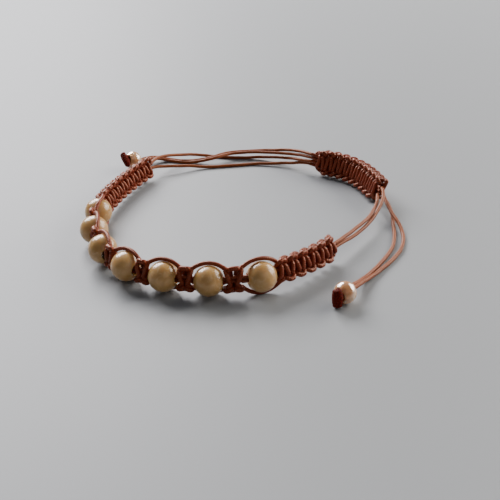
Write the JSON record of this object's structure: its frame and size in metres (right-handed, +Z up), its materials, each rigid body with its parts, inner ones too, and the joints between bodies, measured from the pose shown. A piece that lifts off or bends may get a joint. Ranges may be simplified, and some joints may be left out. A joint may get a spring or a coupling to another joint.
{
  "type": "shamballa bracelet",
  "caption": "Adjustable macrame bracelet: round drilled stone beads between square knots on core cords, closed by a sliding knot whose tails end in small beads and stopper knots.",
  "frame": {"origin": "centre of the bracelet's footprint on the surface it stands on, measured without the loose cord ends", "axes": "+Z up out of that surface, the band standing on its edge; +Y from the row of beads towards the sliding knot's side, +X to the right as seen from the beads"},
  "size_m": [0.0701, 0.077, 0.0076],
  "materials": {
    "bead_stone": "polished cream stone with tan clouds, glossy and a little translucent",
    "end_bead_stone": "polished pinkish cream stone, glossy and clearer than the large beads",
    "waxed_cord": "waxed rust brown cord, fine ribs, satin sheen",
    "knotted_cord": "the same waxed rust brown cord packed into knots, satin sheen on its ribs"
  },
  "bodies": {
    "root": {"bead_1": "bead_stone", "bead_2": "bead_stone", "bead_3": "bead_stone", "bead_4": "bead_stone", "bead_5": "bead_stone", "bead_6": "bead_stone", "bead_7": "bead_stone", "core_cords": "waxed_cord", "bead_loops_1": "waxed_cord", "bead_loops_2": "waxed_cord", "bead_loops_3": "waxed_cord", "bead_loops_4": "waxed_cord", "bead_loops_5": "waxed_cord", "bead_loops_6": "waxed_cord", "bead_loops_7": "waxed_cord", "knot_1": "knotted_cord", "knot_2": "knotted_cord", "knot_3": "knotted_cord", "knot_4": "knotted_cord", "knot_5": "knotted_cord", "knot_6": "knotted_cord", "sennit_left": "knotted_cord", "sennit_right": "knotted_cord", "sliding_knot": "knotted_cord", "left_span_upper": "waxed_cord", "left_span_lower": "waxed_cord", "right_span_outer": "waxed_cord", "right_span_inner": "waxed_cord", "left_tail_back": "waxed_cord", "left_tail_front": "waxed_cord", "right_tail_outer": "waxed_cord", "right_tail_inner": "waxed_cord", "end_bead_left": "end_bead_stone", "end_bead_right": "end_bead_stone", "end_knot_left": "knotted_cord", "end_knot_right": "knotted_cord"}
  },
  "joints": []
}
